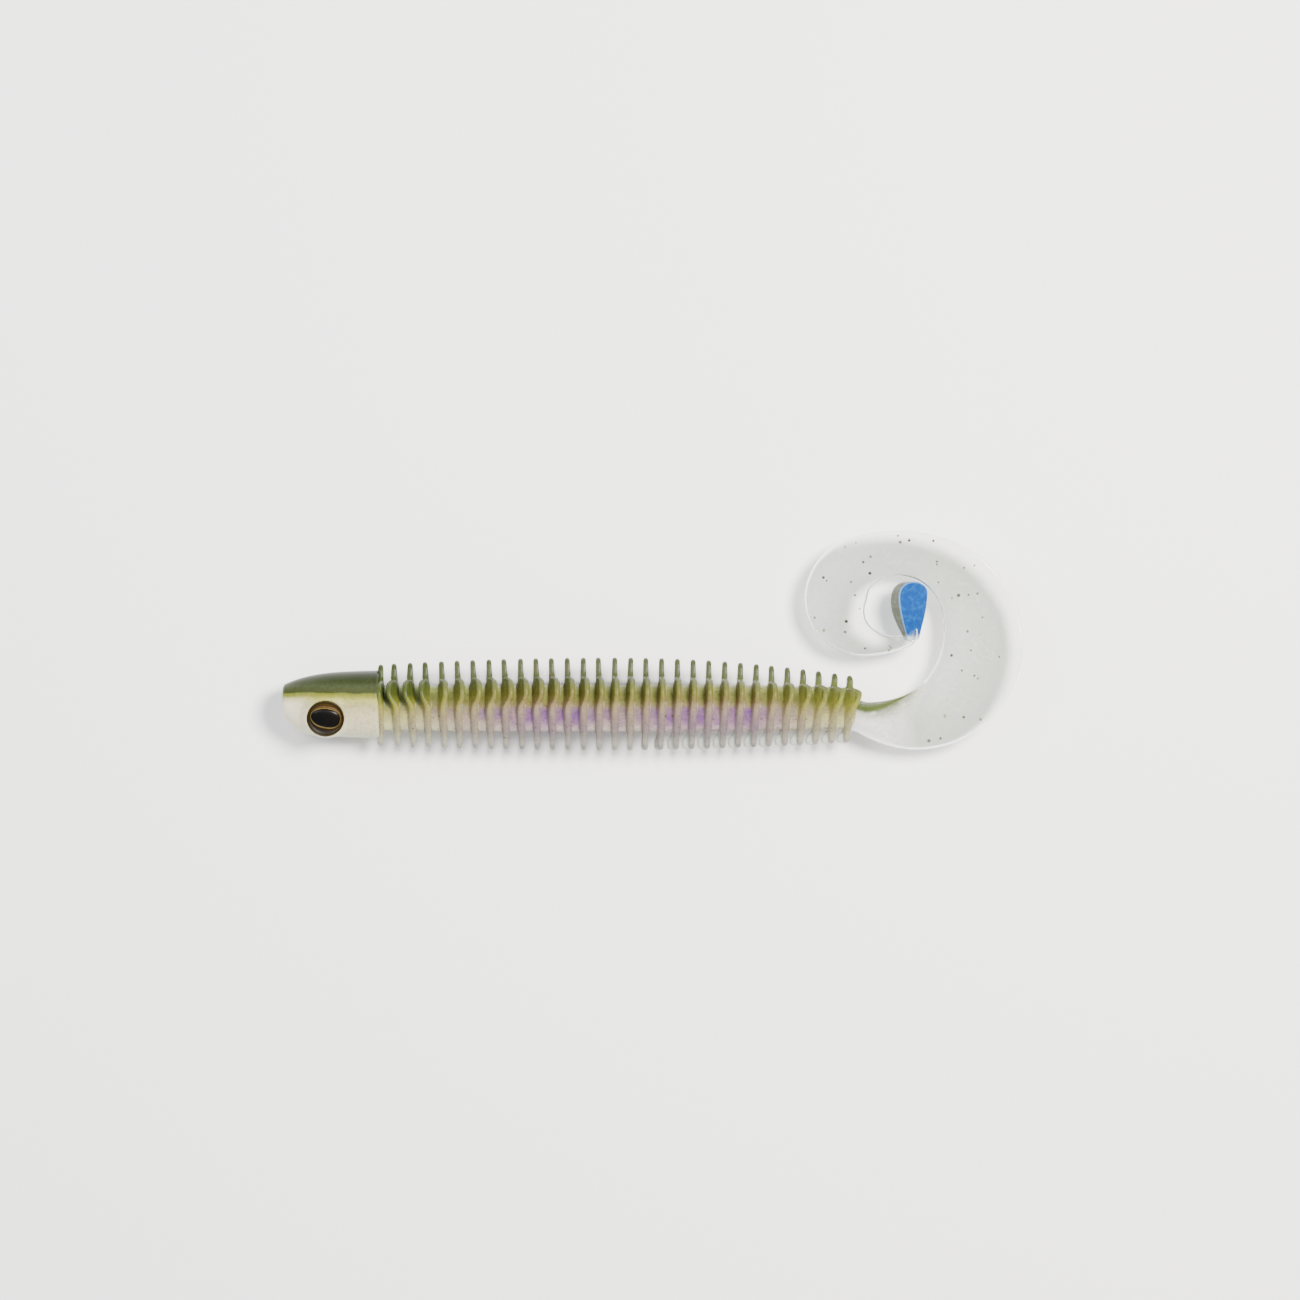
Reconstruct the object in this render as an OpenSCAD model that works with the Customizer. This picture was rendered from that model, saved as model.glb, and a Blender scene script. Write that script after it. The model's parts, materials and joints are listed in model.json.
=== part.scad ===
// Soft plastic worm: a ribbed fishing lure with a wide curled tail and a thick dyed tip.
// It lies on its side. +X runs from the nose to the tail, +Y is the worm's back, +Z is its left flank.
// The origin is on the flat nose face, on the body's axis, where a hook's eye or a jig head seats.
// The body is cast in one pour and bends at its grooves, so it is divided there: each ring carries
// a ball front that turns in the cup of the ring ahead, and the tail is divided across its width.

/* [Head] */
// Length of the head from the nose face to the collar ring
head_len = 12.6; // [10:0.1:16]
// Height of the head at the collar
head_h = 9.1; // [7:0.1:11]
// Width of the head at the collar
head_w = 8.6; // [6.5:0.1:10.5]
// How far the head's middle sits above the body's axis at the collar
head_rise = 0.5; // [0:0.1:1]
// Height of the nose's flat face
nose_h = 4; // [2.4:0.1:6]
// Width of the nose's flat face
nose_w = 4.6; // [2.4:0.1:6]
// How far the nose's middle sits above the body's axis
nose_rise = 1.1; // [0:0.1:1.2]
// How sharply the crown rounds over behind the nose
crown_round = 3.6; // [2:0.1:8]
// How sharply the chin rounds under behind the nose
chin_round = 8; // [2:0.1:10]

/* [Eyes] */
// Outer diameter of an eye
eye_d = 5; // [3:0.1:6]
// Diameter of the pupil
pupil_d = 3.2; // [1.5:0.1:3.6]
// Width of the raised rim round the iris
eye_rim = 0.42; // [0.2:0.02:0.6]
// Depth of an eye's seat in the head
eye_depth = 1.3; // [0.8:0.1:1.6]
// Distance of the eye's middle behind the nose face
eye_x = 5.85; // [4.5:0.05:8]
// How far the eye's middle sits below the body's axis
eye_drop = 1.4; // [0:0.1:1.8]
// Distance of the eye's face from the worm's middle plane
eye_out = 3.75; // [3.4:0.05:4.5]
// How far the eye's face looks down towards the belly
eye_tilt = 17; // [0:1:30]

/* [Rings] */
// Number of rings, the collar included
ring_count = 31; // [20:1:40]
// Distance from one ring to the next
ring_pitch = 2.095; // [1.8:0.005:2.6]
// Thickness of a ring at its rim
rim_t = 0.75; // [0.5:0.05:1]
// Thickness of a ring where it leaves the core
root_t = 1; // [0.8:0.05:1.4]
// Diameter of the core at the head
core_front_d = 5.9; // [5:0.1:7]
// Diameter of the core at the thickest ring
core_mid_d = 6.3; // [5:0.1:7]
// Diameter of the core at the last ring
core_end_d = 5.5; // [5:0.1:7]
// Height of the collar's back fin above the axis
fin_front = 5.85; // [4:0.1:7]
// Height of the tallest ring's back fin above the axis
fin_mid = 6.8; // [5:0.1:8]
// Height of the last ring's back fin above the axis
fin_end = 4.35; // [4:0.1:7]
// Depth of the collar's keel below the axis
keel_front = 5.1; // [4:0.1:7]
// Depth of the deepest ring's keel below the axis
keel_mid = 5.7; // [4:0.1:7]
// Depth of the last ring's keel below the axis
keel_end = 4.7; // [4:0.1:7]
// Half width of a ring across its side lobes, at the middle of the body
lobe_mid = 4.75; // [4:0.05:6]
// Half width of the first and the last ring
lobe_end = 4.3; // [3.8:0.05:6]
// Half width of a ring's back fin
fin_w = 0.95; // [0.6:0.05:1.4]
// Half width of a ring's keel
keel_w = 0.85; // [0.6:0.05:1.4]
// How far the first ring leans back and the last ring leans forward
ring_lean = 2.8; // [0:0.1:5]
// Clearance between a ring's ball front and the cup ahead of it
cup_gap = 0.07; // [0.04:0.01:0.12]

/* [Tail] */
// Thickness of the tail's sheet
tail_t = 0.8; // [0.5:0.05:1.2]
// Height of the tail's stem behind the last ring
stem_h = 4.2; // [3:0.1:5]
// Greatest width of the tail, on its outer sweep
belly_w = 11; // [8:0.1:13]
// Width of the tail at its waist, on top of the curl
waist_w = 6.1; // [4:0.1:8]
// Greatest width of the hook behind the waist
hook_w = 8.4; // [5:0.1:10]
// Width of the neck before the tip
neck_w = 1.9; // [1.2:0.1:3]
// How far the stem's middle sits below the body's axis
stem_drop = 1.2; // [0.5:0.1:1.6]
// Direction in which the stem leaves the last ring, below the body's axis
stem_dip = 18; // [5:1:25]
// Radius of the bend in which the stem levels out
level_r = 15.4; // [12:0.2:20]
// Radius of the tail's outer sweep
sweep_r = 11.4; // [10.5:0.1:14]
// Angle that the outer sweep turns through
sweep_turn = 205; // [190:1:215]
// Radius of the hook
hook_r = 5.7; // [5:0.1:6.4]
// Angle that the hook turns through
hook_turn = 133; // [125:1:140]
// Radius of the run from the hook to the neck
run_r = 9; // [7:0.1:12]
// Angle that the run turns through
run_turn = 35; // [30:1:38]
// Number of sections that the curled tail is divided into
tail_sections = 10; // [6:1:14]
// Clearance between two sections of the tail
slit = 0.16; // [0.12:0.01:0.3]

/* [Tip] */
// Length of the thick tip from the neck to its round end
tip_len = 6.7; // [5:0.1:7]
// Width of the tip's blade
tip_w = 4.6; // [3:0.1:5.2]
// Greatest thickness of the tip
tip_t = 2.1; // [1:0.1:2.6]
// Angle that the blade is turned about its length, out of the tail's plane
tip_twist = 33; // [0:1:45]

/* [Hidden] */
function two(n) = str(n < 10 ? "0" : "", n);
$fn = 48;

// A value that runs from a at 0 through m at middle to b at 1, level at the middle
function hump(t, middle, a, m, b) =
    t < middle ? m - (m - a) * pow((middle - t) / middle, 2)
    : m - (m - b) * pow((t - middle) / (1 - middle), 2);

// A value that eases from a at 0 to b at 1
function ease(t, a, b) = a + (b - a) * (1 - cos(180 * min(max(t, 0), 1))) / 2;

// Points along a cubic curve, without its first point
function curve(p, q, r, s, n) = [
    for (k = [1:n]) let (t = k / n, u = 1 - t)
        u * u * u * p + 3 * u * u * t * q + 3 * u * t * t * r + t * t * t * s
];

// ---- where the rings sit and how big each one is ----
thickest = 0.5;
function along(i) = (i - 1) / (ring_count - 1);
function ring_x(i) = head_len + root_t / 2 + ring_pitch * (i - 1);
function ring_fin(i) = hump(along(i), thickest, fin_front, fin_mid, fin_end);
function ring_keel(i) = hump(along(i), thickest, keel_front, keel_mid, keel_end);
function ring_lobe(i) = hump(along(i), thickest, lobe_end, lobe_mid, lobe_end);
function core_r(i) = hump(along(i), thickest, core_front_d, core_mid_d, core_end_d) / 2;
function lean(i) = i == 1 ? 0 : ring_lean * (1 - 2 * along(i));
half_groove = ring_pitch / 2;

// The ball of ring i reaches its core's rim half a groove ahead of the ring's middle
function ball_r(i) = sqrt(pow(core_r(i), 2) + pow(half_groove, 2));
stem_x = ring_x(ring_count) + half_groove;

// ---- head ----
// How far the head has opened out at a share t of its length
quick_share = 0.85;
function opened(t, round_over) =
    quick_share * (1 - pow(1 - t, round_over)) + (1 - quick_share) * t;
side_round = 4;
section_power = 2.3;
head_steps = 18;
head_sides = 32;

// Height of the crown and of the chin at a share t of the head's length
function crown(t) =
    let (nose = nose_rise + nose_h / 2, back = head_rise + head_h / 2)
    nose + (back - nose) * opened(t, crown_round);
function chin(t) =
    let (nose = nose_rise - nose_h / 2, back = head_rise - head_h / 2)
    nose + (back - nose) * opened(t, chin_round);
function cheek(t) = (nose_w + (head_w - nose_w) * opened(t, side_round)) / 2;

// A sine or cosine bent towards a squarer oval: power 2 is a plain ellipse
function rounded(a, power) = (a < 0 ? -1 : 1) * pow(abs(a), 2 / power);

// One cross-section of the head, a squarish oval
function head_section(t) = [
    for (k = [0:head_sides - 1])
        let (
            a = 360 * k / head_sides,
            top = crown(t),
            bottom = chin(t)
        )
        [
            head_len * t,
            (top + bottom) / 2 + (top - bottom) / 2 * rounded(sin(a), section_power),
            cheek(t) * rounded(cos(a), section_power)
        ]
];

// A closed skin over a row of cross-sections that all have the same number of points
module loft(sections) {
    rows = len(sections);
    sides = len(sections[0]);
    skin = [
        for (r = [0:rows - 2], k = [0:sides - 1])
            let (n = (k + 1) % sides)
            each [
                [r * sides + k, r * sides + n, (r + 1) * sides + n],
                [r * sides + k, (r + 1) * sides + n, (r + 1) * sides + k]
            ]
    ];
    front = [for (k = [sides - 1:-1:0]) k];
    back = [for (k = [0:sides - 1]) (rows - 1) * sides + k];
    polyhedron([for (s = sections) each s], concat([front, back], skin), convexity = 6);
}

// Puts its children in an eye's frame: the face at z = 0 and looking out, on side +1 or -1
module at_eye(side) {
    mirror([0, 0, side > 0 ? 0 : 1])
        translate([eye_x, -eye_drop, eye_out])
        rotate([eye_tilt, 0, 0])
        children();
}

// The skin swells into a low cone round each eye, which ends a little below the eye's face
boss_foot = 0.75;
boss_lip = 0.2;
boss_sink = 0.7;
boss_drop = 0.15;

module head() {
    color([0.62, 0.62, 0.5])
        difference() {
            union() {
                loft([for (k = [0:head_steps]) head_section(1 - cos(90 * k / head_steps))]);
                for (side = [1, -1])
                    at_eye(side) translate([0, 0, -eye_depth - boss_sink])
                        cylinder(
                            h = eye_depth + boss_sink - boss_drop,
                            r1 = eye_d / 2 + boss_foot,
                            r2 = eye_d / 2 + boss_lip
                        );
            }
            for (side = [1, -1])
                at_eye(side) translate([0, 0, -eye_depth]) cylinder(h = eye_depth + 1, d = eye_d);
            translate([ring_x(2), 0, 0]) sphere(r = ball_r(2) + cup_gap, $fn = 96);
        }
}

// Heights of the eye's steps, measured from its face
rim_bead = 0.06;
bead_w = 0.12;
dish_z = 0.28;
seat_z = 0.34;
plug_z = 0.6;
dome_h = 0.45;

// The iris is a turned ring stepping down from its rim to the pupil's seat
module iris(side) {
    seat_r = pupil_d / 2;
    step_r = (seat_r + eye_d / 2 - eye_rim) / 2;
    color([0.36, 0.27, 0.12])
        at_eye(side)
        rotate_extrude()
        polygon([
            [0, -eye_depth],
            [eye_d / 2, -eye_depth],
            [eye_d / 2, -rim_bead],
            [eye_d / 2 - bead_w, rim_bead],
            [eye_d / 2 - eye_rim, 0],
            [step_r, -dish_z],
            [seat_r, -seat_z],
            [seat_r, -plug_z],
            [0, -plug_z]
        ]);
}

// The pupil is a low dome on a short plug
module pupil(side) {
    dome_r = (pow(pupil_d / 2, 2) + pow(dome_h, 2)) / (2 * dome_h);
    color([0.05, 0.04, 0.06])
        at_eye(side) {
            intersection() {
                translate([0, 0, dome_h - seat_z - dome_r]) sphere(r = dome_r, $fn = 96);
                translate([0, 0, -plug_z]) cylinder(h = 2 * plug_z, d = pupil_d);
            }
        }
}

// ---- rings ----
// The fins flare by foot_flare where they run into the disc; heights are shares of fin and keel
foot_flare = 0.35;
foot_rise = 0.64;
widest_rise = 0.29;

// Half the outline of a ring seen along the body: back fin, shoulder, side lobe, flank and keel
function half_ring(top, keel, lobe) =
    let (
        fin_foot = [fin_w + foot_flare, top * foot_rise],
        widest = [lobe, top * widest_rise],
        keel_head = [keel_w + foot_flare, -keel * foot_rise]
    )
    concat(
        [for (a = [90:-22.5:0]) [fin_w * cos(a), top - fin_w + fin_w * sin(a)]],
        [fin_foot],
        curve(fin_foot, [lobe * 0.8, top * 0.62], [lobe, top * 0.46], widest, 6),
        curve(widest, [lobe, -keel * 0.18], [lobe * 0.52, -keel * 0.44], keel_head, 7),
        [for (a = [0:-22.5:-90]) [keel_w * cos(a), -keel + keel_w + keel_w * sin(a)]]
    );

module ring_outline(i) {
    half = half_ring(ring_fin(i), ring_keel(i), ring_lobe(i));
    steps = len(half);
    other = [for (k = [steps - 2:-1:1]) [-half[k][0], half[k][1]]];
    polygon(concat(half, other));
}

// The space a blade fills: thick where it leaves the core, thinning to its rim.
// The blade is let into the core only as far as the cup behind it leaves room.
blade_bite = 0.05;
root_rise = 0.1;
taper_rise = 1.2;
taper_t = rim_t + 0.12;
module ring_taper(i) {
    bite = core_r(i) - blade_bite;
    root = core_r(i) + root_rise;
    thin = core_r(i) + taper_rise;
    reach = ring_fin(i) + 1;
    rotate_extrude($fn = 96)
        polygon([
            [bite, -root_t / 2],
            [root, -root_t / 2],
            [thin, -taper_t / 2],
            [reach, -rim_t / 2],
            [reach, rim_t / 2],
            [thin, taper_t / 2],
            [root, root_t / 2],
            [bite, root_t / 2]
        ]);
}

module ring_blade(i) {
    intersection() {
        translate([0, 0, -root_t / 2]) linear_extrude(root_t) ring_outline(i);
        ring_taper(i);
    }
}

// One ring's stretch of the core: a ball front, a plain round and the cup for the next ball.
// The collar's front is flat, and its cup may run right through it into the head.
module ring_core(i) {
    ball = ball_r(i);
    cup = i == ring_count ? 0 : ball_r(i + 1) + cup_gap;
    pierced = i == 1 && cup > ring_pitch + root_t / 2;
    deepest = pierced ? acos((ring_pitch + root_t / 2) / cup) : 0;
    rim = i == ring_count ? 0 : asin(core_r(i) / cup);
    ball_front = [
        for (k = [0:6])
            let (a = acos(half_groove / ball) * k / 6)
            [ball * sin(a), -ball * cos(a)]
    ];
    flat_front = [if (!pierced) [0, -root_t / 2], [core_r(i), -root_t / 2]];
    cup_back = [
        for (k = [6:-1:0])
            let (a = deepest + (rim - deepest) * k / 6)
            [cup * sin(a), ring_pitch - cup * cos(a)]
    ];
    flat_back = [[core_r(i), half_groove], [0, half_groove]];
    rotate_extrude($fn = 96)
        polygon(concat(i == 1 ? flat_front : ball_front, i == ring_count ? flat_back : cup_back));
}

module ring(i) {
    color([0.42 + 0.2 * along(i), 0.45, 0.28])
        difference() {
            translate([ring_x(i), 0, 0]) {
                rotate([0, 90, 0]) ring_core(i);
                rotate([0, 0, lean(i)]) rotate([0, 90, 0]) ring_blade(i);
            }
            if (i == ring_count) stem_ball(cup_gap);
        }
}

// The ball front of the tail's stem, which the last ring's cup clears
module stem_ball(grow = 0) {
    translate([stem_x, -stem_drop, 0]) sphere(r = stem_h / 2 + grow, $fn = 96);
}

// ---- tail ----
// The tail's middle line is a row of arcs, each [radius, angle]
neck_r = 1.1;
neck_turn = 76;
arcs = [
    [level_r, stem_dip + 4],
    [sweep_r, sweep_turn],
    [hook_r, hook_turn],
    [run_r, run_turn],
    [neck_r, neck_turn]
];
function arc_len(a) = a[0] * a[1] * PI / 180;
function length_to(n) = n == 0 ? 0 : length_to(n - 1) + arc_len(arcs[n - 1]);
tail_len = length_to(len(arcs));

// Place and direction [x, y, heading] after going s along the arcs from arc n on
function walk(s, n, at) =
    let (
        r = arcs[n][0],
        last = n == len(arcs) - 1,
        go = last ? s : min(s, arc_len(arcs[n])),
        turn = go / r * 180 / PI,
        to = [
            at[0] + r * (sin(at[2] + turn) - sin(at[2])),
            at[1] - r * (cos(at[2] + turn) - cos(at[2])),
            at[2] + turn
        ]
    )
    (last || s <= arc_len(arcs[n])) ? to : walk(s - go, n + 1, to);
stem_reach = 0.7;
tail_x = stem_x + stem_reach;
function tail_at(s) = walk(s, 0, [tail_x, -stem_drop, -stem_dip]);

// Width of the sheet at s: it opens to the belly, draws in to the waist, opens to the hook, ends in the neck
belly_s = 0.31 * tail_len;
waist_s = 0.615 * tail_len;
hook_s = 0.775 * tail_len;
neck_run = 1.2;
function tail_w(s) =
    s < belly_s ? stem_h + (belly_w - stem_h) * sin(90 * s / belly_s)
    : s < waist_s ? ease((s - belly_s) / (waist_s - belly_s), belly_w, waist_w)
    : s < hook_s ? ease((s - waist_s) / (hook_s - waist_s), waist_w, hook_w)
    : ease((s - hook_s) / (tail_len - neck_run - hook_s), hook_w, neck_w);

// The sheet's edge point at s, on side +1, inside the curl, or -1, outside it
function edge(s, side) =
    let (p = tail_at(s), w = side * tail_w(s) / 2)
    [p[0] - w * sin(p[2]), p[1] + w * cos(p[2])];

// The flat sheet between two places on the middle line
module sheet(from, to, steps = 8) {
    stops = [for (k = [0:steps]) from + (to - from) * k / steps];
    translate([0, 0, -tail_t / 2])
        linear_extrude(tail_t)
        polygon(concat(
            [for (s = stops) edge(s, -1)],
            [for (k = [steps:-1:0]) edge(stops[k], 1)]
        ));
}

// The stem: round behind the last ring, flattening to the sheet
stem_len = 6.5;
stem_sides = 20;
stem_steps = 9;
round_power = 2;
flat_power = 5;
function stem_section(t) =
    let (
        s = stem_len * t,
        p = tail_at(s),
        half_w = tail_w(s) / 2,
        half_t = ease(t, (stem_h - tail_t / 2) / 2, tail_t / 2),
        power = ease(t, round_power, flat_power)
    )
    [
        for (k = [0:stem_sides - 1])
            let (
                a = 360 * k / stem_sides,
                across = half_w * rounded(sin(a), power),
                up = half_t * rounded(cos(a), power)
            )
            [p[0] - across * sin(p[2]), p[1] + across * cos(p[2]), up]
    ];

// The stem's ball is kept only as far back as the loft covers it
ball_keep = 0.9;
module tail_stem() {
    clip = stem_h;
    color([0.72, 0.76, 0.62])
        union() {
            loft([for (k = [0:stem_steps]) stem_section(k / stem_steps)]);
            intersection() {
                stem_ball();
                translate([stem_x - clip, -clip, -clip]) cube([clip + ball_keep, 2 * clip, 2 * clip]);
            }
        }
}

section_len = (tail_len - stem_len) / tail_sections;
function section_start(i) = stem_len + section_len * (i - 1);
module tail(i) {
    color([0.86, 0.9, 0.86, 0.7])
        sheet(section_start(i) + slit, section_start(i + 1));
}

// ---- tip ----
// The blade's outline: a drop with a narrow neck, a full round end and one straighter edge
neck = tail_at(tail_len);
tip_thin = 0.9;
tip_start = slit;

module tip_outline() {
    half = tip_w / 2;
    base = neck_w / 2;
    shoulder = tip_len * 0.66;
    left = curve([-base, 0], [-base - 0.2, 1], [-half, shoulder * 0.55], [-half, shoulder], 7);
    crown_end = curve(
        [-half, shoulder], [-half, tip_len * 0.93], [-half * 0.5, tip_len], [0.1, tip_len], 6
    );
    right = curve(
        [0.1, tip_len], [half * 0.55, tip_len], [half, tip_len * 0.93], [half, tip_len * 0.8], 6
    );
    polygon(concat([[-base, 0]], left, crown_end, right, [[base, 0]]));
}

// The blade's side view: thin at the neck, full towards the round end
module tip_side() {
    full = curve([tip_thin / 2, 0], [tip_thin / 2, 1.2], [tip_t / 2, 2], [tip_t / 2, 4], 5);
    end = curve(
        [tip_t / 2, 4], [tip_t / 2, tip_len * 0.9], [tip_t / 2 - 0.2, tip_len],
        [tip_t / 2 - 0.55, tip_len], 4
    );
    half = concat([[tip_thin / 2, 0]], full, end);
    last = len(half) - 1;
    polygon(concat(half, [for (k = [last:-1:0]) [-half[k][0], half[k][1]]]));
}

module tail_tip() {
    color([0.22, 0.5, 0.78])
        translate([neck[0], neck[1], 0])
        rotate([0, 0, neck[2] - 90])
        translate([0, tip_start, 0])
        rotate([0, tip_twist, 0])
        intersection() {
            translate([0, 0, -tip_t]) linear_extrude(2 * tip_t) tip_outline();
            rotate([0, 90, 0]) translate([0, 0, -tip_w]) linear_extrude(2 * tip_w) tip_side();
        }
}

head();
iris(1);  // left_iris
pupil(1);  // left_pupil
iris(-1);  // right_iris
pupil(-1);  // right_pupil
for (i = [1:ring_count])
    ring(i);
tail_stem();
for (i = [1:tail_sections])
    tail(i);
tail_tip();
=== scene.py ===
import json
import math

import bpy
import numpy as np
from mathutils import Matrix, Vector


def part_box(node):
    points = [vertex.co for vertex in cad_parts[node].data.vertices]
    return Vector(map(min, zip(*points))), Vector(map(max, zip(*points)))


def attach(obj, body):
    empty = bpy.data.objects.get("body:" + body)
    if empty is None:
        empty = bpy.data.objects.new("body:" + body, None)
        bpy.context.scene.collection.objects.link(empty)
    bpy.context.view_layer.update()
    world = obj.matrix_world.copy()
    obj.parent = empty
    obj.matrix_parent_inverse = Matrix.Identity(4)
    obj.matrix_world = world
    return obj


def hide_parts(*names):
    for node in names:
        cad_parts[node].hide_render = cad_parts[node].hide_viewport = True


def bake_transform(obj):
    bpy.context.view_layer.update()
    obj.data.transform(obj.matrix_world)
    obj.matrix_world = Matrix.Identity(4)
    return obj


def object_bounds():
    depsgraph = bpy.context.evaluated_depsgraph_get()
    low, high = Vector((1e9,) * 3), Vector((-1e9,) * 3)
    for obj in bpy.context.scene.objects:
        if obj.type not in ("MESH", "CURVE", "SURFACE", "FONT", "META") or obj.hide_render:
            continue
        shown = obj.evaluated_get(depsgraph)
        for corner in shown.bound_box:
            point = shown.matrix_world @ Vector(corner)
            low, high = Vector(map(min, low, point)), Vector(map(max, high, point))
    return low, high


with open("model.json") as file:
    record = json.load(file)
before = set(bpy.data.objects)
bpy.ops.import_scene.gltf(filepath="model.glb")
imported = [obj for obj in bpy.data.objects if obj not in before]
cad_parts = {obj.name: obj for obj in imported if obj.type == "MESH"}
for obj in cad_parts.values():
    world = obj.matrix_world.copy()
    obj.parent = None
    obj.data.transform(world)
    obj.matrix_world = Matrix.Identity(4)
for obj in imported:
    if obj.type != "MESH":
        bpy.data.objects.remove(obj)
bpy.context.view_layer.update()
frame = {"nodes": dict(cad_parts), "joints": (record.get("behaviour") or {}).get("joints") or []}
hinges = {j["child"]: j for j in frame["joints"]}
print("frame loaded:", len(frame["nodes"]), "nodes")

# every length below is in millimetres until meshFromPoints turns it to metres
mm = 0.001


def linearColour(hexColour):
    # an sRGB hex colour as linear red, green and blue, with alpha 1
    parts = [int(hexColour[k:k + 2], 16) / 255 for k in (1, 3, 5)]
    return tuple(c / 12.92 if c <= 0.04045 else ((c + 0.055) / 1.055) ** 2.4 for c in parts) + (1.0,)


def smooth(t):
    # runs from 0 to 1 and is level at both ends
    t = np.clip(t, 0.0, 1.0)
    return t * t * (3 - 2 * t)


def hump(t, front, middle, end):
    # front at 0, middle at a half, end at 1, level at the half, a parabola on each side
    t = np.asarray(t, float)
    return np.where(
        t < 0.5,
        middle - (middle - front) * ((0.5 - t) / 0.5) ** 2,
        middle - (middle - end) * ((t - 0.5) / 0.5) ** 2,
    )


def bezier(p, q, r, s, count):
    # cubic curve from p to s, without its first point
    t = np.linspace(0, 1, count + 1)[1:, None]
    p, q, r, s = (np.array(v, float) for v in (p, q, r, s))
    return (1 - t) ** 3 * p + 3 * (1 - t) ** 2 * t * q + 3 * (1 - t) * t * t * r + t ** 3 * s


def fullTurn(count):
    # angles evenly round a circle
    return np.linspace(0, 2 * math.pi, count, endpoint=False)


def evenly(points, count):
    # the same closed line walked in equal steps
    line = np.vstack([points, points[:1]])
    run = np.concatenate([[0], np.cumsum(np.linalg.norm(np.diff(line, axis=0), axis=1))])
    at = np.linspace(0, run[-1], count + 1)[:-1]
    return np.column_stack([np.interp(at, run, line[:, k]) for k in range(line.shape[1])])


def gridFaces(rows, columns, wrapRows=False):
    # the faces of a grid of points stored row after row; every row closes on itself
    r = np.arange(rows if wrapRows else rows - 1)
    c = np.arange(columns)
    r, c = (v.ravel() for v in np.meshgrid(r, c, indexing="ij"))
    r2, c2 = (r + 1) % rows, (c + 1) % columns
    return np.column_stack([r * columns + c, r * columns + c2, r2 * columns + c2, r2 * columns + c])


def poleFaces(pole, ring, atStart=True):
    # a fan from one pole point to the first or the last row of a grid, wound the same way as the grid
    fan = np.column_stack([np.full(len(ring), pole), np.roll(ring, -1), ring])
    return fan if atStart else fan[:, ::-1]


def cappedFaces(rows, columns):
    # a tube's faces with both ends closed; the two pole points follow the grid's points
    count = rows * columns
    last = count - columns + np.arange(columns)
    return [
        gridFaces(rows, columns), poleFaces(count, np.arange(columns)), poleFaces(count + 1, last, False),
    ]


def meshFromPoints(name, points, faceGroups, material, values=None):
    # a mesh object with smooth faces; values are numbers kept on its points, rest is where each point starts
    faces = [tuple(f) for group in faceGroups for f in group.tolist()]
    mesh = bpy.data.meshes.new(name)
    mesh.from_pydata((np.asarray(points) * mm).tolist(), [], faces)
    mesh.polygons.foreach_set("use_smooth", np.ones(len(faces), bool))
    rest = mesh.attributes.new("rest", "FLOAT_VECTOR", "POINT")
    rest.data.foreach_set("vector", np.asarray(points, np.float32).ravel())
    for key, numbers in (values or {}).items():
        kept = mesh.attributes.new(key, "FLOAT", "POINT")
        kept.data.foreach_set("value", np.broadcast_to(numbers, len(points)).astype(np.float32))
    mesh.materials.append(material)
    mesh.update()
    piece = bpy.data.objects.new(name, mesh)
    bpy.context.scene.collection.objects.link(piece)
    return piece


def outwards(piece):
    # turns a closed mesh the right way out
    mesh = piece.data
    co = np.zeros(len(mesh.vertices) * 3)
    mesh.vertices.foreach_get("co", co)
    co = co.reshape(-1, 3)
    mesh.calc_loop_triangles()
    tri = np.zeros(len(mesh.loop_triangles) * 3, np.int32)
    mesh.loop_triangles.foreach_get("vertices", tri)
    a, b, c = (co[tri[k::3]] for k in range(3))
    if np.einsum("ij,ij->i", a, np.cross(b, c)).sum() < 0:
        mesh.flip_normals()
    return piece


def feed(tree, node, inputs):
    # links a node's inputs to the outputs given, and sets plain values on them directly
    for key, value in inputs.items():
        if isinstance(value, bpy.types.NodeSocket):
            tree.links.new(value, node.inputs[key])
        else:
            node.inputs[key].default_value = value


def addNode(tree, kind, settings=None, inputs=None, output=0):
    # adds a node with its properties and inputs, and gives back one of its outputs
    made = tree.nodes.new(kind)
    for key, value in (settings or {}).items():
        setattr(made, key, value)
    feed(tree, made, inputs or {})
    return made.outputs[output]


def ramp(tree, factor, stops):
    # a colour ramp from (position, hex colour) pairs
    out = addNode(tree, "ShaderNodeValToRGB", {}, {"Fac": factor})
    band = out.node.color_ramp
    while len(band.elements) < len(stops):
        band.elements.new(0.5)
    for element, (position, colour) in zip(band.elements, stops):
        element.position = position
        element.color = linearColour(colour)
    return out


def newMaterial(name):
    # an empty material with its shader and its output
    material = bpy.data.materials.new(name)
    material.use_nodes = True
    tree = material.node_tree
    tree.nodes.clear()
    shader = tree.nodes.new("ShaderNodeBsdfPrincipled")
    tree.links.new(shader.outputs[0], tree.nodes.new("ShaderNodeOutputMaterial").inputs["Surface"])
    return material, tree, shader


def restCoordinates(tree):
    return addNode(tree, "ShaderNodeAttribute", {"attribute_name": "rest"}, output="Vector")


def keptValue(tree, name):
    return addNode(tree, "ShaderNodeAttribute", {"attribute_name": name}, output="Fac")


def noise(tree, where, size, detail=2.0, roughness=0.5):
    # soft blotches about size millimetres across
    return addNode(
        tree, "ShaderNodeTexNoise", {"noise_dimensions": "3D"},
        {"Vector": where, "Scale": 1 / size, "Detail": detail, "Roughness": roughness}, output="Fac",
    )


def maths(tree, operation, a, b=0.5, clamp=False):
    return addNode(tree, "ShaderNodeMath", {"operation": operation, "use_clamp": clamp}, {0: a, 1: b})


def product(tree, first, *others):
    for other in others:
        first = maths(tree, "MULTIPLY", first, other)
    return first


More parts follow.
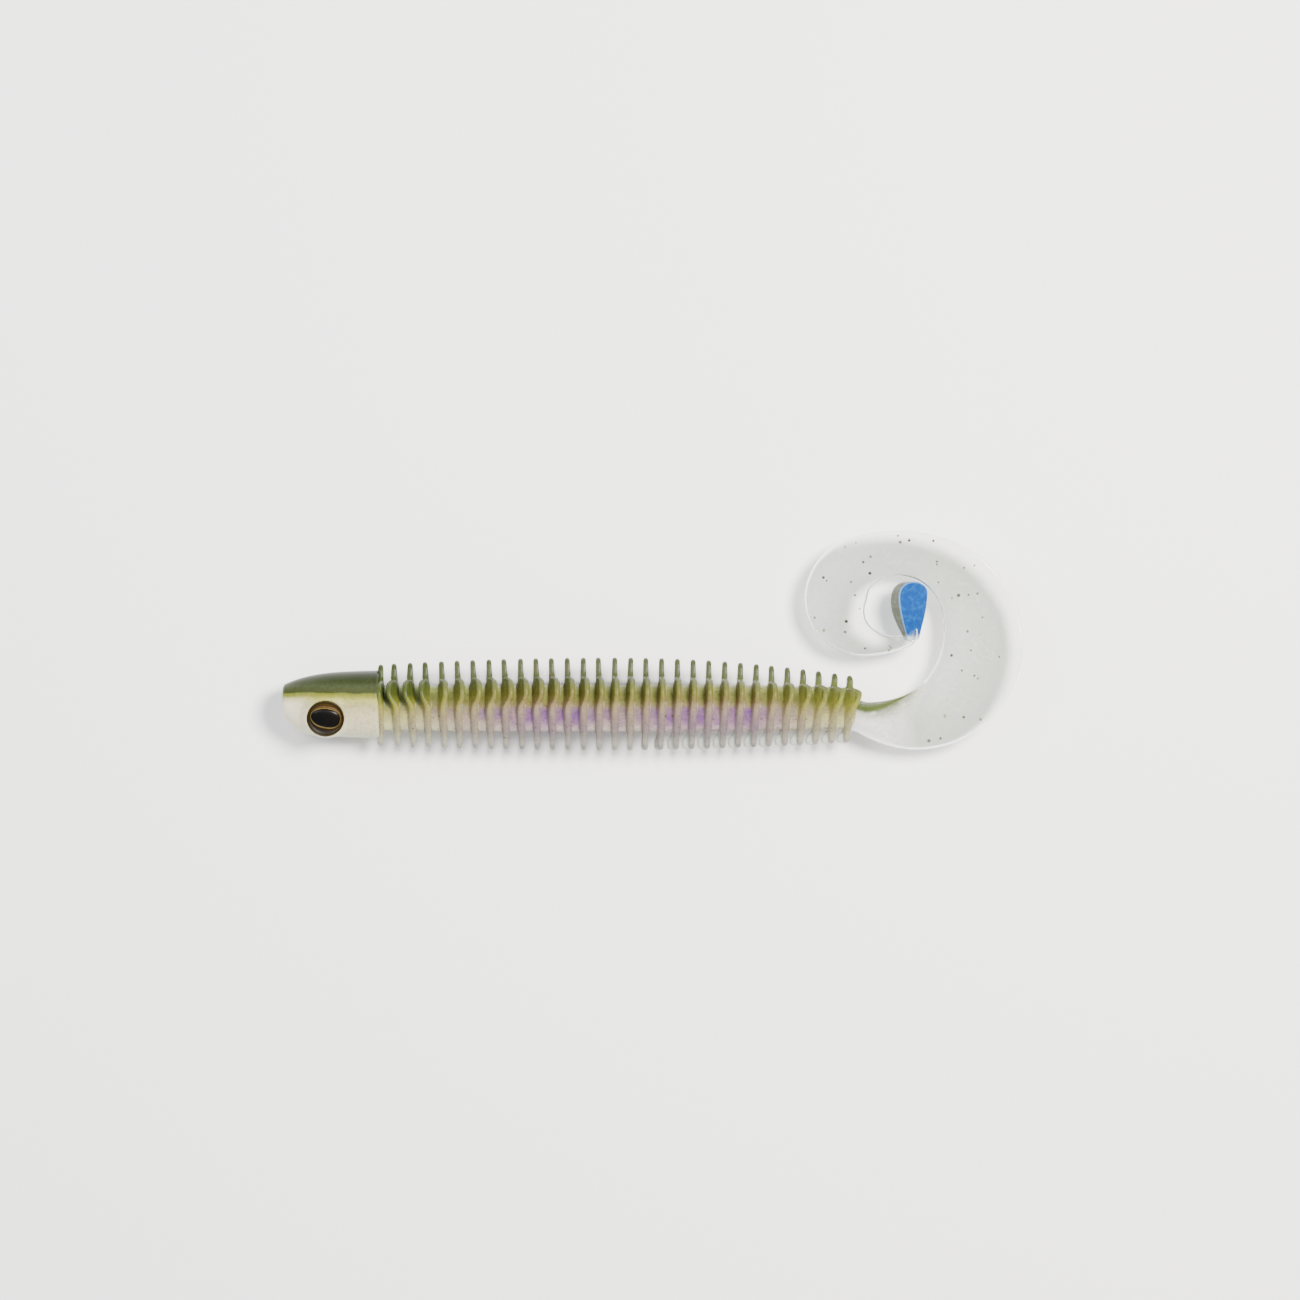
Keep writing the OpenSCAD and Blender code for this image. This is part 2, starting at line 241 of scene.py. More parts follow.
def rescale(tree, value, lowest, highest, first=0.0, last=1.0):
    # value lowest to highest becomes first to last, held at both ends
    return addNode(
        tree, "ShaderNodeMapRange", {}, {0: value, 1: lowest, 2: highest, 3: first, 4: last}
    )


def coordinate(tree, where, axis):
    return addNode(tree, "ShaderNodeSeparateXYZ", {}, {0: where}, output=axis)


def around(tree, value, size):
    # a noise value moved to run evenly about 0, size times as strong
    return product(tree, maths(tree, "SUBTRACT", value, 0.5), size)


def mixColour(tree, factor, a, b, blend="MIX"):
    return addNode(
        tree, "ShaderNodeMix", {"data_type": "RGBA", "blend_type": blend}, {0: factor, 6: a, 7: b}, output=2
    )


def bump(tree, height, distance, strength):
    return addNode(tree, "ShaderNodeBump", {}, {"Height": height, "Distance": distance, "Strength": strength})


vinylLook = {
    "grainSize": 0.25,  # mm, the fine mottle of poured vinyl
    "waveSize": 1.111,  # mm, the wider unevenness under it
    "grainDepth": 0.012,  # mm
    "roughness": 0.36,
    "ior": 1.5,  # plasticised vinyl
    "shine": 0.15,  # less than a clean plastic's, because the skin is oily and matt
}


def softVinyl(tree, shader, colour, subsurface, radius):
    # PVC plastisol cast in an open mould: satin skin, faint orange peel, light that travels inside it
    where = restCoordinates(tree)
    grain = noise(tree, where, vinylLook["grainSize"], 3.0, 0.55)
    wave = noise(tree, where, vinylLook["waveSize"])
    rough = maths(tree, "ADD", product(tree, grain, 0.16), vinylLook["roughness"] - 0.08)
    height = maths(tree, "ADD", product(tree, grain, 0.5), wave)
    feed(tree, shader, {
        "Base Color": colour, "Roughness": rough, "Normal": bump(tree, height, vinylLook["grainDepth"] * mm, 0.6),
        "IOR": vinylLook["ior"], "Specular IOR Level": vinylLook["shine"],
        "Subsurface Weight": subsurface, "Subsurface Radius": radius, "Subsurface Scale": mm,
    })


headPour = {
    "low": -4.4, "high": 5.4,  # mm above the body's axis, the colour ramp's ends
    "patch": 2.857, "mottle": 0.4545, "wander": 0.5,
    "noseFull": 1.0, "noseEnd": 4.6, "noseSeam": (1.6, 0.6), "nosePale": 0.6,
}


def headVinylMaterial():
    # two pours of plastisol: a dark olive back over pearl, with a yellow-green line where they meet, a painted
    # sheen band and painted shade towards the top edge
    material, tree, shader = newMaterial("olive and pearl plastisol")
    where = restCoordinates(tree)
    y = coordinate(tree, where, "Y")
    x = coordinate(tree, where, "X")
    wander = around(tree, noise(tree, where, headPour["patch"]), headPour["wander"])
    level = maths(tree, "ADD", y, wander)
    share = rescale(tree, level, headPour["low"], headPour["high"])
    # the ramp by height paints a greyer sheen band near 0.755 (about 3 mm up) and painted shade darkening the
    # back towards its top edge
    pourWithPaintedSheen = ramp(tree, share, [
        (0.00, "#b7b99f"), (0.143, "#c0bc9c"), (0.347, "#b8aa86"), (0.48, "#9c9569"), (0.561, "#9a9750"),
        (0.612, "#74762a"), (0.648, "#5f631d"), (0.663, "#303717"), (0.704, "#353a1e"), (0.755, "#353c26"),
        (0.806, "#272e14"), (0.878, "#192307"), (1.00, "#0d1107"),
    ])
    mottle = noise(tree, where, headPour["mottle"], 4.0, 0.6)
    cloud = ramp(tree, mottle, [(0.30, "#b9b9ae"), (0.55, "#ffffff"), (0.75, "#ffffff")])
    toned = mixColour(tree, 0.5, pourWithPaintedSheen, cloud, "MULTIPLY")
    # the nose is paler below the seam
    below = rescale(tree, level, *headPour["noseSeam"], 0.0, headPour["nosePale"])
    noseShade = rescale(tree, x, headPour["noseFull"], headPour["noseEnd"], 1.0, 0.0)
    colour = mixColour(tree, product(tree, noseShade, below), toned, linearColour("#ebe6cf"))
    softVinyl(tree, shader, colour, 0.12, (0.5, 0.45, 0.3))
    return material


ringPour = {
    "low": -6.0, "high": 7.0,  # mm above the body's axis, the colour ramp's ends
    "patch": 1.818, "wander": 0.8, "mottle": 0.3226, "blot": 3.333, "speck": 0.4167,
    "darkX": (18.5, 22.0), "darkY": (0.2, 1.8),  # thicker olive on the first shoulders
    "openX": (47.0, 53.0), "openY": (-2.5, -3.4), "openZ": (0.55, 0.1),  # the open milky keels
    "clearY": (-2.5, -5.0), "clearShare": 0.30,
}


def ringVinylMaterial(name, forCore):
    # the same pours on the rings: olive above, a violet tinted middle, milky and half clear below
    material, tree, shader = newMaterial(name)
    where = restCoordinates(tree)
    y = coordinate(tree, where, "Y")
    patches = noise(tree, where, ringPour["patch"], 3.0, 0.6)
    level = maths(tree, "ADD", y, around(tree, patches, ringPour["wander"]))
    share = rescale(tree, level, ringPour["low"], ringPour["high"])
    if forCore:
        plain = [
            (0.215, "#d6d59e"), (0.308, "#b0ac77"), (0.423, "#898747"), (0.50, "#545729"), (0.554, "#3f451e"),
            (0.615, "#495121"), (0.708, "#81913a"),
        ]
        tinted = [
            (0.215, "#b5a1a2"), (0.246, "#bb9ca4"), (0.292, "#947187"), (0.362, "#795775"), (0.423, "#785b6f"),
            (0.462, "#745964"), (0.485, "#6f603e"), (0.538, "#666331"), (0.608, "#6d6f3c"), (0.669, "#7b8038"),
            (0.708, "#8b9347"),
        ]
    else:
        plain = [
            (0.00, "#a9a99d"), (0.108, "#999a88"), (0.231, "#8e8766"), (0.346, "#8a8356"), (0.423, "#847f45"),
            (0.485, "#7c7a31"), (0.554, "#686c28"), (0.62, "#5b5f27"), (0.70, "#4b5327"), (0.792, "#3c4322"),
            (0.923, "#3b4026"),
        ]
        tinted = [
            (0.00, "#8e8781"), (0.108, "#857f7a"), (0.169, "#776f6c"), (0.231, "#7d6c72"), (0.292, "#735f68"),
            (0.362, "#7b656a"), (0.423, "#83706a"), (0.485, "#826f5a"), (0.538, "#695b38"), (0.608, "#5e5826"),
            (0.669, "#595829"), (0.731, "#51562d"), (0.792, "#3f4427"), (0.923, "#3b4025"),
        ]
    violet = keptValue(tree, "violet")
    soft = maths(tree, "ADD", violet, around(tree, patches, ringPour["wander"]), True)
    colour = mixColour(tree, soft, ramp(tree, share, plain), ramp(tree, share, tinted))
    if forCore:
        # the violet pour gathered in patches in the middle of the flank is the vinyl's own colour; its deepening
        # towards the next ring is painted shade, where that ring's shadow falls on the groove
        gathered = ramp(tree, share, [
            (0.24, "#000000"), (0.35, "#ffffff"), (0.43, "#ffffff"), (0.48, "#000000"),
        ])
        blots = rescale(tree, noise(tree, where, ringPour["blot"], 1.0), 0.30, 0.62)
        # painted shade: the deep violet grows towards the next ring, standing in for the shadow that ring casts
        shadeTowardsNextRing = rescale(tree, keptValue(tree, "groove"), 0.1, 0.75, 0.25, 1.0)
        strength = product(tree, gathered, blots, soft, shadeTowardsNextRing)
        colour = mixColour(tree, product(tree, strength, 0.9), colour, linearColour("#4a2270"))
    mottle = noise(tree, where, ringPour["mottle"], 4.0, 0.65)
    cloud = ramp(tree, mottle, [(0.28, "#9a9a8c"), (0.52, "#ffffff"), (0.8, "#ffffff")])
    toned = mixColour(tree, 0.6, colour, cloud, "MULTIPLY")
    speck = noise(tree, where, ringPour["speck"], 0.0, 0.0)  # a few dark grains sunk in the vinyl
    dark = rescale(tree, speck, 0.795, 0.82)
    colour = mixColour(tree, dark, toned, linearColour("#4a3a20"))
    if not forCore:
        x = coordinate(tree, where, "X")
        z = coordinate(tree, where, "Z")
        # the olive pour lies thicker on the first shoulders
        nearHead = rescale(tree, x, *ringPour["darkX"], 0.7, 0.0)
        shoulder = rescale(tree, level, *ringPour["darkY"])
        colour = mixColour(tree, product(tree, nearHead, shoulder), colour, linearColour("#27330f"))
        # the open keels are milky
        late = rescale(tree, x, *ringPour["openX"])
        low = rescale(tree, y, *ringPour["openY"])
        far = rescale(tree, z, *ringPour["openZ"])
        milk = product(tree, late, low, far)
        colour = mixColour(tree, product(tree, milk, 0.8), colour, linearColour("#d2d6cc"))
    softVinyl(tree, shader, colour, 0.10, (0.4, 0.35, 0.3))
    if not forCore:
        milky = rescale(tree, y, *ringPour["clearY"], 0.0, ringPour["clearShare"])
        feed(tree, shader, {"Transmission Weight": milky})
    return material


sheetLook = {
    "ragged": 0.7692, "grain": 0.4, "wave": 2.857, "waveDepth": 0.05,  # mm
    "smoothest": 0.05, "roughest": 0.16, "cloudedRough": 0.35, "cloudedClear": 0.12, "ior": 1.38,
}


def clearVinylMaterial():
    # clear plastisol sheet, faintly green, with olive bled along the root's upper edge and a milky root
    material, tree, shader = newMaterial("clear plastisol sheet")
    where = restCoordinates(tree)
    olive = keptValue(tree, "olive")
    frost = keptValue(tree, "frost")
    ragged = around(tree, noise(tree, where, sheetLook["ragged"], 3.0, 0.6), 0.5)
    oliveShare = rescale(tree, maths(tree, "ADD", olive, ragged), 0.15, 0.95)
    frostShare = rescale(tree, maths(tree, "ADD", frost, ragged), 0.0, 1.0)
    milk = mixColour(tree, frostShare, linearColour("#f3f5ef"), linearColour("#e6e2e4"))
    green = ramp(tree, olive, [(0.3, "#8f9040"), (0.6, "#5c661c"), (1.0, "#3d4a10")])
    colour = mixColour(tree, oliveShare, milk, green)
    clouded = maths(tree, "MAXIMUM", oliveShare, product(tree, frostShare, 0.8))
    clear = rescale(tree, clouded, 0.0, 1.0, 1.0, sheetLook["cloudedClear"])
    grain = noise(tree, where, sheetLook["grain"], 3.0, 0.6)
    rough = rescale(tree, grain, 0.3, 0.7, sheetLook["smoothest"], sheetLook["roughest"])
    rough = maths(tree, "ADD", rough, product(tree, clouded, sheetLook["cloudedRough"]))
    uneven = bump(tree, noise(tree, where, sheetLook["wave"]), sheetLook["waveDepth"] * mm, 0.5)
    feed(tree, shader, {
        "Base Color": colour, "Transmission Weight": clear, "Roughness": rough, "Normal": uneven,
        "IOR": sheetLook["ior"],
    })
    return material


def blueVinylMaterial():
    # plastisol dipped in blue worm dye: deep blue faces, grey-olive vinyl left showing on the cut sides
    material, tree, shader = newMaterial("blue dyed plastisol")
    where = restCoordinates(tree)
    side = keptValue(tree, "side")
    neck = keptValue(tree, "neck")
    patches = noise(tree, where, 0.625, 3.0, 0.55)
    blue = ramp(tree, patches, [(0.30, "#0a3470"), (0.50, "#0a3d7c"), (0.68, "#0f4d8c")])
    grey = ramp(tree, patches, [(0.30, "#56584a"), (0.50, "#616354"), (0.70, "#6c7672")])
    bevel = ramp(tree, side, [(0.0, "#000000"), (0.30, "#000000"), (0.42, "#ffffff"), (0.55, "#000000")])
    edge = rescale(tree, side, 0.42, 0.60)
    colour = mixColour(tree, edge, blue, grey)
    colour = mixColour(tree, product(tree, bevel, 0.55), colour, linearColour("#6fa6cc"))
    colour = mixColour(tree, neck, colour, linearColour("#b9c4c4"))
    softVinyl(tree, shader, colour, 0.05, (0.1, 0.2, 0.5))
    return material


def irisMaterial():
    # bronze paint in the moulded eye ring, darker at the outside, with a tan lip round the pupil; painted light
    # brightens the ring's upper tail side and painted shade darkens its lower nose side
    material, tree, shader = newMaterial("bronze eye paint")
    where = restCoordinates(tree)
    out = keptValue(tree, "out")
    turn = keptValue(tree, "turn")
    streaks = noise(tree, where, 0.3846, 4.0, 0.65)
    # paintedLitSide and paintedShadedSide are lit and shaded copies of the same bronze; turn, a painted light
    # share, blends them
    paintedLitSide = ramp(tree, out, [
        (0.00, "#3d2f14"), (0.10, "#5d4c24"), (0.20, "#47340f"), (0.38, "#362408"), (0.60, "#3d2f10"),
        (0.78, "#2c220a"), (0.87, "#463a18"), (0.95, "#1f1908"), (1.00, "#3a3518"),
    ])
    paintedShadedSide = ramp(tree, out, [
        (0.00, "#3f341a"), (0.12, "#66582f"), (0.24, "#2b2210"), (0.40, "#160f05"), (0.66, "#120d05"),
        (0.80, "#191407"), (0.88, "#332a12"), (0.95, "#151006"), (1.00, "#3a3518"),
    ])
    colour = mixColour(tree, turn, paintedShadedSide, paintedLitSide)
    cloud = ramp(tree, streaks, [(0.32, "#7d6a4c"), (0.55, "#ffffff")])
    colour = mixColour(tree, 0.5, colour, cloud, "MULTIPLY")
    uneven = bump(tree, streaks, 0.03 * mm, 0.5)
    feed(tree, shader, {"Base Color": colour, "Normal": uneven, "Roughness": 0.45, "Specular IOR Level": 0.15})
    return material


def pupilMaterial():
    # gloss black lacquer, faintly blue and brown where light catches it
    material, tree, shader = newMaterial("black eye lacquer")
    where = restCoordinates(tree)
    tint = ramp(tree, noise(tree, where, 0.8333), [(0.3, "#040404"), (0.55, "#070605"), (0.75, "#0c0705")])
    feed(tree, shader, {"Base Color": tint, "Roughness": 0.3, "Specular IOR Level": 0.12})
    return material


def fleckMaterial():
    # cut polyester glitter, dark bronze, seen flat or on edge
    material, tree, shader = newMaterial("bronze polyester glitter")
    where = restCoordinates(tree)
    tone = ramp(tree, noise(tree, where, 2.857, 0.0), [(0.35, "#2e2a22"), (0.5, "#57503c"), (0.65, "#8a8062")])
    feed(tree, shader, {"Base Color": tone, "Metallic": 0.6, "Roughness": 0.35})
    return material


headVinyl = headVinylMaterial()
finVinyl = ringVinylMaterial("ring plastisol", False)
coreVinyl = ringVinylMaterial("core plastisol", True)
clearVinyl = clearVinylMaterial()
blueVinyl = blueVinylMaterial()
irisPaint = irisMaterial()
pupilLacquer = pupilMaterial()
glitter = fleckMaterial()
print("materials made")


headSize = {
    "length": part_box("head")[1].x / mm,
    "height": 9.1, "width": 8.6, "rise": 0.5,  # at the collar
    "noseHeight": 4.0, "noseWidth": 4.6, "noseRise": 1.1,
    "crownRound": 3.6, "chinRound": 8.0, "cheekRound": 4.0,
    "sectionPower": 2.3,
    "noseEdge": 0.35,  # radius of the nose face's rim
    "tuck": 0.35, "tuckIn": 0.25,  # how far the skin runs and narrows inside the collar
    "rows": 170, "columns": 260,
}
eyeSize = {
    "radius": 2.5, "x": 5.85, "y": -1.4, "out": 3.75, "tilt": math.radians(17),
    "pupilLong": 1.86, "pupilShort": 1.24, "pupilSlant": math.radians(-11),
    "pupilShift": (0.10, 0.06), "dome": 0.34, "domeSink": 0.13, "foot": 0.6,
    "bossWidth": 1.1, "bossRise": 0.04, "pocketDepth": 0.9, "pocketWall": 0.12, "reach": 3.2,
}


def opened(t, roundOver):
    # how far the head has opened out behind the nose: a quick round-over plus a slow steady growth
    return 0.85 * (1 - (1 - t) ** roundOver) + 0.15 * t


def eyeFrame(side):
    # the eye's middle, and its along, up and outward directions on side +1 or -1
    tilt = eyeSize["tilt"]
    middle = np.array([eyeSize["x"], eyeSize["y"], side * eyeSize["out"]])
    along = np.array([1.0, 0.0, 0.0])
    up = np.array([0.0, math.cos(tilt), side * math.sin(tilt)])
    out = np.array([0.0, -math.sin(tilt), side * math.cos(tilt)])
    return middle, along, up, out


def headPoints(t, angle, inset):
    # an oval of power 2.3 between the crown and chin lines, as wide as the cheeks, drawn in by inset
    h = headSize
    nose, back = h["noseRise"] + h["noseHeight"] / 2, h["rise"] + h["height"] / 2
    crown = nose + (back - nose) * opened(t, h["crownRound"])
    nose, back = h["noseRise"] - h["noseHeight"] / 2, h["rise"] - h["height"] / 2
    chin = nose + (back - nose) * opened(t, h["chinRound"])
    cheek = (h["noseWidth"] + (h["width"] - h["noseWidth"]) * opened(t, h["cheekRound"])) / 2
    power = 2 / h["sectionPower"]
    c, s = np.cos(angle), np.sin(angle)
    across = np.sign(c) * np.abs(c) ** power * np.maximum(cheek - inset, 0)
    up = np.sign(s) * np.abs(s) ** power * np.maximum((crown - chin) / 2 - inset, 0)
    return np.stack([np.broadcast_to(h["length"] * t, across.shape), (crown + chin) / 2 + up, across], -1)


def sinkEye(points, side):
    # raises a low boss round the eye and sinks a pocket inside it, measured in the eye's own frame
    middle, along, up, out = eyeFrame(side)
    local = points - middle
    q = np.hypot(local @ along, local @ up)
    depth = local @ out
    near = (depth > -eyeSize["reach"]) & (points[:, 2] * side > 0)
    r, w = eyeSize["radius"], eyeSize["bossWidth"]
    boss = smooth((r + w - q) / w)
    target = eyeSize["bossRise"] * boss + depth * (1 - boss)
    inside = smooth((r + 0.02 - q) / eyeSize["pocketWall"])
    target = target * (1 - inside) - eyeSize["pocketDepth"] * inside
    moved = points + np.outer(target - depth, out)
    return np.where(near[:, None], moved, points)


def makeHead():
    # headPoints along x, with a quarter circle round the nose's rim and a tuck into the collar
    h = headSize
    quarter = np.linspace(0, math.pi / 2, 9)
    noseX, noseInset = h["noseEdge"] * (1 - np.cos(quarter)), h["noseEdge"] * (1 - np.sin(quarter))
    backX = h["length"] + h["tuck"] * np.linspace(0, 1, 5)
    backInset = h["tuckIn"] * np.linspace(0, 1, 5) ** 2
    middleX = np.linspace(h["noseEdge"], h["length"], h["rows"])[1:-1]
    flat = np.array([1.55, 1.1, 0.6])
    x = np.concatenate([flat * 0, noseX, middleX, backX])
    inset = np.concatenate([flat, noseInset, middleX * 0, backInset])
    angle = fullTurn(h["columns"])
    t, a = np.meshgrid(np.minimum(x / h["length"], 1), angle, indexing="ij")
    points = headPoints(t, a, inset[:, None]).reshape(-1, 3)
    points[:, 0] = np.repeat(x, h["columns"])
    for side in (1, -1):
        points = sinkEye(points, side)
    points = np.vstack([points, [[0, h["noseRise"], 0], [h["length"] + h["tuck"], h["rise"], 0]]])
    faces = cappedFaces(len(x), h["columns"])
    head = outwards(meshFromPoints("headSkin", points, faces, headVinyl))
    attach(head, "head")
    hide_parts("head")


def pupilOutline(angle):
    # an oval of power 2.5, pointed by a tenth at its front end, flattened above that, then slanted and shifted
    point = 1 + 0.10 * np.exp(-((np.angle(np.exp(1j * (angle - math.pi)))) / 0.5) ** 2)
    flat = 1 - 0.07 * np.exp(-((np.angle(np.exp(1j * (angle - 2.2)))) / 0.5) ** 2)
    squared = 2 / 2.5
    x = eyeSize["pupilLong"] * np.sign(np.cos(angle)) * np.abs(np.cos(angle)) ** squared * point * flat
    y = eyeSize["pupilShort"] * np.sign(np.sin(angle)) * np.abs(np.sin(angle)) ** squared * flat
    c, s = math.cos(eyeSize["pupilSlant"]), math.sin(eyeSize["pupilSlant"])
    return x * c - y * s + eyeSize["pupilShift"][0], x * s + y * c + eyeSize["pupilShift"][1]


def makeEye(side):
    # the iris goes from the pupil's oval to a round rim in straight lines, its height from the profile;
    # the pupil is that oval shrunk by a sine while it rises by a cosine
    word = "left" if side > 0 else "right"
    middle, along, up, out = eyeFrame(side)
    columns = 128
    angle = fullTurn(columns)
    slant = angle - eyeSize["pupilSlant"]
    px, py = pupilOutline(slant)
    r = eyeSize["radius"]
    cx, cy = r * np.cos(angle), r * np.sin(angle)
    #        share outwards, height
    profile = np.array([
        [0.00, -0.60], [0.00, -0.16], [0.02, -0.06], [0.08, -0.02], [0.15, -0.05], [0.19, -0.16],
        [0.22, -0.24], [0.40, -0.27], [0.60, -0.22], [0.76, -0.12], [0.82, -0.02], [0.87, 0.08],
        [0.93, 0.12], [0.98, 0.08], [1.00, -0.02], [1.00, -0.75],
    ])
    share = np.repeat(profile[:, 0], columns)
    height = np.repeat(profile[:, 1], columns)
    rows = len(profile)
    x = np.tile(px, rows) * (1 - share) + np.tile(cx, rows) * share
    y = np.tile(py, rows) * (1 - share) + np.tile(cy, rows) * share
    points = middle + np.outer(x, along) + np.outer(y, up) + np.outer(height, out)
    # turn is a painted light share: 1 on the iris's upper tail side, 0 on its lower nose side
    paintedLitSide = 0.5 + 0.5 * np.cos(np.tile(angle, rows) - math.radians(55))
    faces = [gridFaces(rows, columns, wrapRows=True)]
    iris = meshFromPoints(word + "IrisRing", points, faces, irisPaint, {"out": share, "turn": paintedLitSide})
    outwards(iris)
    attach(iris, "head")
    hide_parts(word + "_iris")
    dome, sink, foot = eyeSize["dome"], eyeSize["domeSink"], eyeSize["foot"]
    steps = np.linspace(0, 1, 15)[1:]
    scale = np.concatenate([np.sin(steps * math.pi / 2), [1.0]])
    height = np.concatenate([-sink + dome * np.cos(steps * math.pi / 2), [-foot]])
    shiftX, shiftY = eyeSize["pupilShift"]
    x = np.outer(scale, px - shiftX).ravel() + shiftX
    y = np.outer(scale, py - shiftY).ravel() + shiftY
    points = middle + np.outer(x, along) + np.outer(y, up) + np.outer(np.repeat(height, columns), out)
    crown = middle + shiftX * along + shiftY * up
    points = np.vstack([points, crown + (dome - sink) * out, crown - foot * out])
    faces = cappedFaces(len(scale), columns)
    pupil = outwards(meshFromPoints(word + "PupilDome", points, faces, pupilLacquer))
    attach(pupil, "head")
    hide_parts(word + "_pupil")


makeHead()
for side in (1, -1):
    makeEye(side)
print("head and eyes made")


ringNames = sorted(n for n in frame["nodes"] if n.startswith("ring_"))
ringCount = len(ringNames)
ringBody = {n: ("head" if n == ringNames[0] else n) for n in ringNames}
pitch = (hinges[ringNames[-1]]["pos_m"][0] - hinges[ringNames[1]]["pos_m"][0]) / mm / (ringCount - 2)
ringX = [hinges[ringNames[1]]["pos_m"][0] / mm + pitch * (k - 1) for k in range(ringCount)]
ringSize = {
    "finWidth": 0.95, "keelWidth": 0.85,
    "rimHalf": 0.35, "rootHalf": 0.46, "thinRun": 0.9,  # half thickness at the rim and root, and its fade
    "footRise": 0.14, "footRun": 0.20, "sunk": 0.3,  # the fillet at the core, how deep the ring starts
    "lobeFront": 4.3, "lobeMiddle": 4.75, "lobeEnd": 4.3,
    "coreFront": 2.95, "coreMiddle": 3.15, "coreEnd": 2.75,
    "lean": math.radians(2.8),
    "columns": 176, "seed": 11,
}
finShape = np.random.default_rng(ringSize["seed"])


def ringTop(k):
    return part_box(ringNames[k])[1].y / mm


def ringKeel(k):
    return -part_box(ringNames[k])[0].y / mm


def along(k):
    return k / (ringCount - 1)


def coreRadius(k):
    return float(hump(along(k), ringSize["coreFront"], ringSize["coreMiddle"], ringSize["coreEnd"]))


# how far each ring is bent back (+) or forward (-) where the soft fins have set: ring number, then
# the left shoulder, the left flank and the right side
sweeps = [
    (1, -0.1, 0.1, 0.2), (2, -0.75, 0.25, 0.3), (4, -0.6, 0.3, 0.4), (5, 0.5, 0.2, 0.6), (7, 0.85, 0.1, 0.7),
    (10, 0.85, 0.05, 0.6), (13, 0.7, 0.05, 0.45), (16, 0.35, 0.1, 0.05), (19, 0.2, 0.15, -0.55),
    (25, 0.25, 0.2, -0.75), (28, 0.85, 0.4, -0.5), (31, 1.25, 0.7, -0.3),
]


finBend = {
    "fullRise": 3.0,  # mm above the core where a bend is full
    "openAfter": 16, "openOver": 4, "openBy": -1.0,  # rings, and mm towards the nose, of the open keels
    "wobble": [0.045, 3.0, 0.03],  # wave height, its turn, and tilt
}


def sweepOf(k, column):
    return float(np.interp(k + 1, [row[0] for row in sweeps], [row[column] for row in sweeps]))


def violetShare(k):
    # the violet pour is missing at both ends and strongest a third and two thirds of the way along
    numbers = [2, 5, 8, 11, 14, 17, 21, 25, 28, 31]
    shares = [0.0, 0.35, 0.6, 1.0, 0.8, 0.65, 0.95, 0.9, 0.3, 0.0]
    return float(np.interp(k + 1, numbers, shares))


def ringOutline(k):
    # back fin, shoulder, side lobe, flank and keel of one ring: quarter circles at the two ends joined by four
    # cubic curves, then the same mirrored
    top, keel = ringTop(k), ringKeel(k)
    lobe = float(hump(along(k), ringSize["lobeFront"], ringSize["lobeMiddle"], ringSize["lobeEnd"]))
    fin, foot = ringSize["finWidth"], ringSize["keelWidth"]
    a = np.linspace(math.pi / 2, 0, 9)[:, None]
    crest = np.hstack([fin * np.cos(a), top - fin + fin * np.sin(a)])
    finFoot, widest, keelHead = (fin + 0.35, top * 0.64), (lobe, top * 0.29), (foot + 0.35, -keel * 0.64)
    side = bezier(crest[-1], (fin + 0.02, top * 0.78), (fin + 0.1, top * 0.68), finFoot, 8)
    shoulder = bezier(finFoot, (lobe * 0.8, top * 0.62), (lobe, top * 0.46), widest, 16)
    flank = bezier(widest, (lobe, -keel * 0.18), (lobe * 0.52, -keel * 0.44), keelHead, 18)
    b = np.linspace(0, -math.pi / 2, 9)[:, None]
    end = np.hstack([foot * np.cos(b), -keel + foot + foot * np.sin(b)])
    lower = bezier(keelHead, (foot + 0.12, -keel * 0.72), (foot, -keel * 0.8), end[0], 7)
    half = np.vstack([crest, side, shoulder, flank, lower, end[1:]])
    other = half[1:-1][::-1] * [-1, 1]
    return evenly(np.vstack([half, other]), ringSize["columns"])


def ringHalfThickness(rise, fromRim):
    # root thickness fading exponentially to the rim's, plus a bell-shaped fillet at the core, times a half
    # circle over the last rim radius
    z = ringSize
    fillet = z["footRise"] * np.exp(-((rise + 0.05) / z["footRun"]) ** 2)
    rim = z["rimHalf"]
    wall = rim + (z["rootHalf"] - rim) * np.exp(-rise / z["thinRun"]) + fillet
    cap = np.sqrt(np.clip(1 - (1 - np.clip(fromRim / rim, 0, 1)) ** 2, 0, 1))
    return wall * cap


def bendFin(points, k, wobble):
    # moves points fore and aft: a lean growing with height, each side's sweep eased in from the middle plane,
    # and a slight wave round the rim, all growing away from the core
    y, z = points[:, 1], points[:, 2]
    lobe = ringSize["lobeMiddle"]
    high = np.clip((np.hypot(y, z) - coreRadius(k)) / finBend["fullRise"], 0, 1.4)
    lean = 0 if k == 0 else ringSize["lean"] * (1 - 2 * along(k))
    # the left side follows its shoulder's bend above and its flank's bend below
    upper = smooth((y + 0.5) / 2.6) * (1 - 0.75 * smooth((y - 3.6) / 2.2))
    bend = sweepOf(k, 1) * upper + sweepOf(k, 2) * (1 - upper) * (1 - smooth((y - 3.0) / 1.5))
    left = smooth(z / (lobe * 0.8)) * bend
    right = smooth(-z / (lobe * 0.55)) * sweepOf(k, 3) * (1 - smooth((y - 0.4) / 2.0))
    # from the middle of the body on, the far side of each keel opens towards the nose
    low = smooth((-y - 2.0) / 1.4)
    keelOpen = smooth((k - finBend["openAfter"]) / finBend["openOver"]) * low * finBend["openBy"]
    right = right * (1 - low) + smooth((0.35 - z) / 0.8) * keelOpen
    wave = wobble[0] * np.sin(np.arctan2(y, z) * 2 + wobble[1]) + wobble[2] * np.sign(y) * high
    points = points.copy()
    points[:, 0] += -math.sin(lean) * y + (left + right) * np.clip(high * 2.2, 0, 1) + wave * high
    return points


